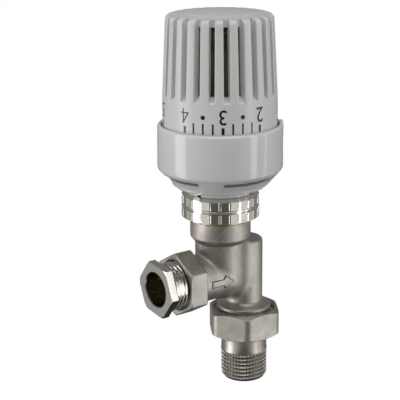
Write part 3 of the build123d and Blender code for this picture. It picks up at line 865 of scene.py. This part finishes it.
def body_field(x, y, z):
    """Distance to the forged and machined body, in millimetres."""
    from_head = np.hypot(x - head_x, y)
    from_tail = np.hypot(x, y)
    from_inlet = np.hypot(y, z - inlet_z)
    # Seat housing with a domed foot
    foot = np.maximum(inlet_z - z, 0)
    housing = np.sqrt((x - head_x) ** 2 + y ** 2 + foot ** 2) - HOUSING_R
    housing = np.maximum(housing, z - 70.0)
    branch = rounded_disc(from_inlet, x, BRANCH_R, HEX_BACK - 3.0, head_x, 0.1)
    riser = rounded_disc(from_tail, z, RISER_R, 30.0, 64.5, 2.0)
    shape = smooth_union(housing, branch, 1.5)
    shape = smooth_union(shape, riser, 4.5)
    # Neck, with a rounded lower edge
    neck = rounded_disc(from_head, z, NECK_R, NECK_LOW, body_high, 0.3)
    lean = (from_head - NECK_R + (NECK_LOW + 2.0 - z) * 0.75) / 1.25
    shape = smooth_union(shape, np.maximum(neck, lean), 0.6)
    # Flared collar over the union
    flare = np.maximum(cone_limit(from_tail, z, 33.2, COLLAR_R, 2.4), from_tail - COLLAR_R)
    flare = np.maximum(flare, 31.4 - z)
    shape = smooth_union(shape, flare, 1.6)
    # Hexagon with corners up and down, chamfered at both ends
    sides = []
    for turn in (0.0, math.pi / 3, 2 * math.pi / 3):
        sides.append(np.abs(y * math.cos(turn) + (z - inlet_z) * math.sin(turn)))
    past = np.clip((np.stack(sides) - HEX_APOTHEM) * HEX_SHARPNESS, -60, 60)
    hexagon = np.log(np.exp(past).sum(axis=0)) / HEX_SHARPNESS
    hexagon = np.maximum(hexagon, np.maximum(HEX_FRONT - x, x - HEX_BACK))
    for limit in (cone_limit(from_inlet, -x, -HEX_FRONT - 0.8, HEX_CORNER, 1.6),
                  cone_limit(from_inlet, x, HEX_BACK - 0.4, HEX_CORNER, 1.75)):
        hexagon = np.maximum(hexagon, limit)
    shape = smooth_union(shape, hexagon, 0.4)
    # Machined outlet with the union's thread
    outlet = np.maximum(from_tail - OUTLET_R, np.maximum(body_low - z, z - 32.3))
    thread = np.maximum(from_tail - OUTLET_THREAD_R, np.maximum(body_low - z, z - 30.6))
    shape = np.minimum(shape, np.minimum(outlet, thread))
    # Pipe socket and passages
    socket = rounded_disc(from_inlet, x, SOCKET_R, -50.0, -31.1, 0.1)
    mouth = np.maximum(cone_limit(from_inlet, x, HEX_FRONT, 11.3, 1.0), x - HEX_FRONT - 1.5)
    pipe = rounded_disc(from_inlet, x, PIPE_R, -40.0, -24.0, 0.1)
    passage = rounded_disc(from_inlet, x, SEAT_R, -26.0, head_x, 0.1)
    seat = rounded_disc(from_head, z, SEAT_R, inlet_z, 60.0, 0.1)
    chamber = rounded_disc(from_head, z, CHAMBER_R, 56.3, 80.0, 0.1)
    chamber = np.maximum(chamber, -rounded_disc(from_head, z, 6.6, 50.0, 57.5, 0.1))
    bonnet_hole = rounded_disc(from_head, z, BONNET_R, 68.0, 80.0, 0.1)
    riser_hole = rounded_disc(from_tail, z, RISER_BORE, 20.0, 63.4, 0.3)
    spigot_hole = rounded_disc(from_tail, z, SPIGOT_R, 20.0, 27.4, 0.1)
    for cut in (socket, mouth, pipe, passage, seat, chamber, bonnet_hole, riser_hole, spigot_hole):
        shape = np.maximum(shape, -cut)
    return shape


def build_body():
    """The body as the surface of its field, sampled on a grid of cubes."""
    step = 0.42
    low = (-39.6, -15.6, body_low - 1.3)
    high = (9.8, 15.6, body_high + 1.3)
    points, faces = surface_net(body_field, low, high, step)
    body = make_object("forged_body", points, faces, satin, sharp_degrees=50)
    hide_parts("valve_body")
    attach(body, "valve_set")


ARROW = ((-12.07, -1.25), (-12.07, 1.25), (-6.0, 1.12), (-5.1, 2.7), (-1.7, 0.05),
         (-5.1, -2.75), (-6.0, -1.3))


def widened(corners, distance):
    """A polygon's corners moved outwards, each edge by the same distance."""
    moved = []
    for index, corner in enumerate(corners):
        back = np.subtract(corner, corners[index - 1])
        ahead = np.subtract(corners[(index + 1) % len(corners)], corner)
        first = np.array([-back[1], back[0]]) / np.hypot(*back)
        second = np.array([-ahead[1], ahead[0]]) / np.hypot(*ahead)
        moved.append(tuple(corner + (first + second) * distance / (1 + first @ second)))
    return moved


def plate_on_body(name, corners, lift, material):
    """A thin plate on the body's front, from corners relative to the two axes' crossing."""
    work = bmesh.new()
    work.faces.new([work.verts.new((x, z, 0)) for x, z in corners])
    refine(work, 3, grid_fill=True)
    flat = np.array([tuple(v.co)[:2] for v in work.verts])
    near, far = np.full(len(flat), -14.0), np.full(len(flat), -7.0)
    for _ in range(24):
        middle = (near + far) / 2
        inside = body_field(head_x + flat[:, 0], middle, inlet_z + flat[:, 1]) < 0
        near, far = np.where(inside, near, middle), np.where(inside, middle, far)
    for vert, (x, z), y in zip(work.verts, flat, far):
        vert.co = (head_x + x, y - lift, inlet_z + z)
    made = bmesh.ops.extrude_face_region(work, geom=work.faces[:])
    sunk = [part for part in made["geom"] if isinstance(part, bmesh.types.BMVert)]
    bmesh.ops.translate(work, vec=(0, lift + 0.4, 0), verts=sunk)
    plate = make_object(name, *take_mesh(work), material)
    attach(plate, "valve_set")
    return plate


def build_arrow():
    """The raised flow arrow on the inlet branch, with a dark plate round it as painted shade in the step."""
    arrow = plate_on_body("flow_arrow", ARROW, 0.3, satin)
    add_bevel(arrow, 0.12, degrees=50)
    # A dark plate a little wider than the arrow: painted shade along the step round the raised arrow.
    plate_on_body("arrow_shade_outline", widened(ARROW, 0.3), 0.1, painted_shade)


# ---- Nuts ------------------------------------

def circle(count):
    """Evenly spread angles."""
    return np.arange(count) / count * 2 * math.pi


def build_lock_ring():
    """The polished ring: flats with narrow lands between them and a round groove across."""
    flats, flat_radius, land, land_radius = 24, 16.8, math.radians(1.75), 17.15
    low, groove = ring_low, ring_low + 5.0
    profile = [(15.4, low), (16.9, low), (land_radius, low + 0.25), (land_radius, groove - 1.0)]
    for turn in np.radians(np.linspace(-75, 75, 9)):
        profile.append((land_radius - 0.95 * math.cos(turn), groove + 0.93 * math.sin(turn)))
    profile += [(land_radius, groove + 1.0), (land_radius, low + 9.3), (17.0, low + 9.6),
                (15.75, low + 10.95), (15.4, low + 11.1), (12.9, low + 11.1),
                (12.9, low + 10.8), (14.9, low + 10.8), (14.9, low + 0.5)]
    pitch = 2 * math.pi / flats
    edge = pitch / 2 - land
    local = np.array([-pitch / 2, -edge - 0.008, -edge, -edge / 3, edge / 3, edge, edge + 0.008])
    starts = FRONT + pitch / 2 + np.arange(flats)[:, None] * pitch
    across = np.tile(local, flats)
    on_flat = np.abs(across) < edge + 0.004
    rows = []
    for radius, height in profile:
        cut = np.minimum(radius, flat_radius / np.cos(across))
        rows.append((np.where(on_flat, cut, radius), height))
    ring = make_grid("polished_ring", rings(rows, (starts + local).ravel(), head_x), round_z, 18)
    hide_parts("lock_ring")
    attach(ring, "lock_ring")


def build_union_nut():
    """The hexagon with worn round corners and turned chamfers."""
    apothem, corner_round, first_corner = 15.0, 3.6, math.radians(-1.5)
    corner_centre = (apothem - corner_round) / math.cos(math.pi / 6)
    angle = circle(288)
    from_corner = (angle - first_corner + math.pi / 6) % (math.pi / 3) - math.pi / 6
    flat = apothem / np.cos(math.pi / 6 - np.abs(from_corner))
    sideways = corner_centre * np.sin(from_corner)
    arc = corner_centre * np.cos(from_corner)
    arc = arc + np.sqrt(np.maximum(corner_round ** 2 - sideways ** 2, 0))
    tangent = math.atan2(corner_round * math.sin(math.pi / 6),
                         corner_centre + corner_round * math.cos(math.pi / 6))
    hexagon = np.where(np.abs(from_corner) < tangent, arc, flat)
    low, high = union_low, union_high
    seat = 21.55
    chamfer = [(14.6 + 0.282 * step, 0.16 * step) for step in range(1, 11)]
    profile = [(10.4, low), (14.6, low)]
    profile += [(radius, low + rise) for radius, rise in chamfer]
    profile += [(radius, high - rise) for radius, rise in reversed(chamfer)]
    profile += [(14.6, high), (14.1, high), (13.27, high - 0.9), (13.27, seat), (10.4, seat)]
    rows = [(np.minimum(radius, hexagon), height) for radius, height in profile]
    nut = make_grid("worn_union_nut", rings(rows, angle), satin, 25)
    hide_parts("union_nut")
    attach(nut, "union_nut")


# ---- Radiator tail ---------------------------

def build_tail():
    """The tail, with its helical half-inch thread, knurled across the crests."""
    pitch, crest, depth, notches = 1.814, 10.478, 0.9, 43
    runout, thread_end = 11.3, 11.6
    angle = circle(notches * 8)
    knurl_wave = (0.5 + 0.5 * np.cos(notches * angle)) ** 0.8
    rows = []
    for z in np.arange(tail_low, thread_end, 0.11):
        crest_wave = (0.5 + 0.5 * np.cos(z / pitch * 2 * math.pi - angle)) ** 0.8
        fade = np.clip((runout - z) / 0.5, 0, 1)
        radius = crest - depth * fade * (1.0 - crest_wave * (0.4 + 0.6 * knurl_wave))
        lead_in = 9.3 + (z - tail_low) * 0.68
        rows.append((np.minimum(radius, lead_in), z))
    rows += [(10.4, 11.8), (10.33, 12.3), (10.3, 21.4), (10.4, 21.6), (11.9, 21.6),
             (12.0, 21.7), (12.0, 23.5), (11.9, 23.6), (8.6, 23.6), (7.9, tail_high),
             (7.0, tail_high), (7.0, 10.0), (7.0, tail_low + 0.5), (7.4, tail_low),
             (9.1, tail_low)]
    tail = make_grid("knurled_tail", rings(rows, angle), knurl, 75)
    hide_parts("tail_nipple")
    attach(tail, "valve_set")


# ---- Studio ----------------------------------

def aim(thing, place, target, roll=0.0):
    """Puts a light or camera at a place, looking at a target."""
    thing.location = place
    turn = (target - place).to_track_quat("-Z", "Y").to_matrix().to_4x4()
    thing.matrix_world = Matrix.Translation(place) @ turn @ Matrix.Rotation(roll, 4, "Z")


def around(azimuth, elevation, distance, centre):
    """A place round a centre: azimuth 0 is on the -Y side and turns towards -X."""
    a, e = math.radians(azimuth), math.radians(elevation)
    out = Vector((math.sin(a) * math.cos(e), -math.cos(a) * math.cos(e), math.sin(e)))
    return centre + out * distance


VIEW_AZIMUTH, VIEW_ELEVATION = -36.25, 16.3
CAMERA_DISTANCE, LENS = 0.541, 109.8      # metres, and millimetres
CAMERA_ROLL = math.radians(-0.5)


def build_camera():
    """A long lens a little above the valve, turned towards its inlet side."""
    data = bpy.data.cameras.new("camera")
    data.lens = LENS
    camera = add_object("camera", data)
    target = Vector(((head_x - 2.6) * MM, 0.01146, 0.0815))
    place = around(VIEW_AZIMUTH, VIEW_ELEVATION, CAMERA_DISTANCE, target)
    aim(camera, place, target, roll=CAMERA_ROLL)
    bpy.context.scene.camera = camera


def softbox(name, azimuth, elevation, distance, width, height, power, target):
    """A rectangular soft light; azimuth is counted from the camera's own direction."""
    data = bpy.data.lights.new(name, "AREA")
    data.shape = "RECTANGLE"
    data.size, data.size_y = width, height
    data.energy = power
    light = add_object(name, data)
    aim(light, around(VIEW_AZIMUTH + azimuth, elevation, distance, target), target)


# Grey of the room's walls, from straight behind the subject to straight behind the camera
ROOM = ((0.0, 0.2), (0.25, 0.26), (0.42, 0.6), (0.55, 0.7), (0.86, 0.75), (0.925, 0.13),
        (1.0, 0.07))
BAND_MIDDLE = -0.28       # the walls show round this height of a ray that leaves the stage


def room_light(world):
    """The grey room round the stage: dark behind the camera, with lit walls at both sides."""
    place = add_node(world, "TexCoord").outputs["Generated"]
    azimuth = math.radians(VIEW_AZIMUTH)
    to_camera = (math.sin(azimuth), -math.cos(azimuth), 0)
    toward = add_node(world, "VectorMath", {0: place, 1: to_camera}, operation="DOT_PRODUCT")
    walls = add_node(world, "ValToRGB", {"Fac": remap(world, toward.outputs["Value"], 0, 1, -1, 1)})
    ramp = walls.color_ramp
    ramp.elements[0].position, ramp.elements[1].position = ROOM[0][0], ROOM[-1][0]
    for position, _ in ROOM[1:-1]:
        ramp.elements.new(position)
    for element, (_, grey) in zip(ramp.elements, ROOM):
        element.color = (grey, grey, grey, 1)
    height = add_node(world, "SeparateXYZ", {"Vector": place}).outputs["Z"]
    above = add_node(world, "Math", {0: height, 1: BAND_MIDDLE}, operation="SUBTRACT")
    away = add_node(world, "Math", {0: above.outputs["Value"]}, operation="ABSOLUTE")
    band = remap(world, away.outputs["Value"], 1.0, 0.0, 0.25, 0.55)
    depth = remap(world, height, 0.03, 0.24, -0.75, -0.1)
    return color_mix(world, band, depth, walls.outputs["Color"])


def build_studio():
    """Four softboxes, and a room that a camera ray sees as white."""
    target = Vector((head_x * MM, 0, 0.09))
    softbox("left_box", -77, 0, 0.9, 0.38, 1.3, 4.4, target)
    softbox("right_box", 62, 0, 0.9, 0.2, 1.3, 2.0, target)
    softbox("right_strip", 88, 0, 0.9, 0.03, 1.3, 0.5, target)
    softbox("top_box", 5, 68, 1.0, 0.9, 0.6, 3.8, target)
    world = bpy.data.worlds.new("studio")
    bpy.context.scene.world = world
    world.use_nodes = True
    seen = add_node(world, "LightPath").outputs["Is Camera Ray"]
    background = world.node_tree.nodes["Background"]
    color = color_mix(world, seen, room_light(world), (1.0, 1.0, 1.0, 1))
    world.node_tree.links.new(color, background.inputs["Color"])


def build_floor():
    """A pale floor at the tail's end: white to the camera, grey as a surface, and left out
    of mirror images and shadows."""
    reach = 3.0
    mesh = bpy.data.meshes.new("floor")
    corners = [(x, y, tail_low * MM) for x, y in
               ((-reach, -reach), (reach, -reach), (reach, reach), (-reach, reach))]
    mesh.from_pydata(corners, [], [(0, 1, 2, 3)])
    material = shader("pale_floor", (0.30, 0.30, 0.30), roughness=0.9)
    glow = add_node(material, "Emission", {"Color": (1, 1, 1, 1)})
    seen = add_node(material, "LightPath").outputs["Is Camera Ray"]
    mix = add_node(material, "MixShader", {"Fac": seen, 1: surface_of(material).outputs["BSDF"],
                                           2: glow.outputs["Emission"]})
    output = material.node_tree.nodes["Material Output"]
    material.node_tree.links.new(mix.outputs["Shader"], output.inputs["Surface"])
    mesh.materials.append(material)
    floor = add_object("floor", mesh)
    floor.visible_glossy = False
    floor.visible_shadow = False


# ---- Assembly --------------------------------

build_camera()
build_studio()
build_floor()
dress_cad_nodes()
build_handwheel()
base = build_base()
mark = build_pointer()
for piece in (base, mark):
    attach(piece, "valve_set")
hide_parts("base_shell")
build_slit_back()
build_dial()
build_body()
build_arrow()
build_tail()
build_lock_ring()
build_union_nut()
add_bevel(frame["nodes"]["gland_nut"], 0.25)

bpy.context.scene.view_settings.view_transform = "Standard"
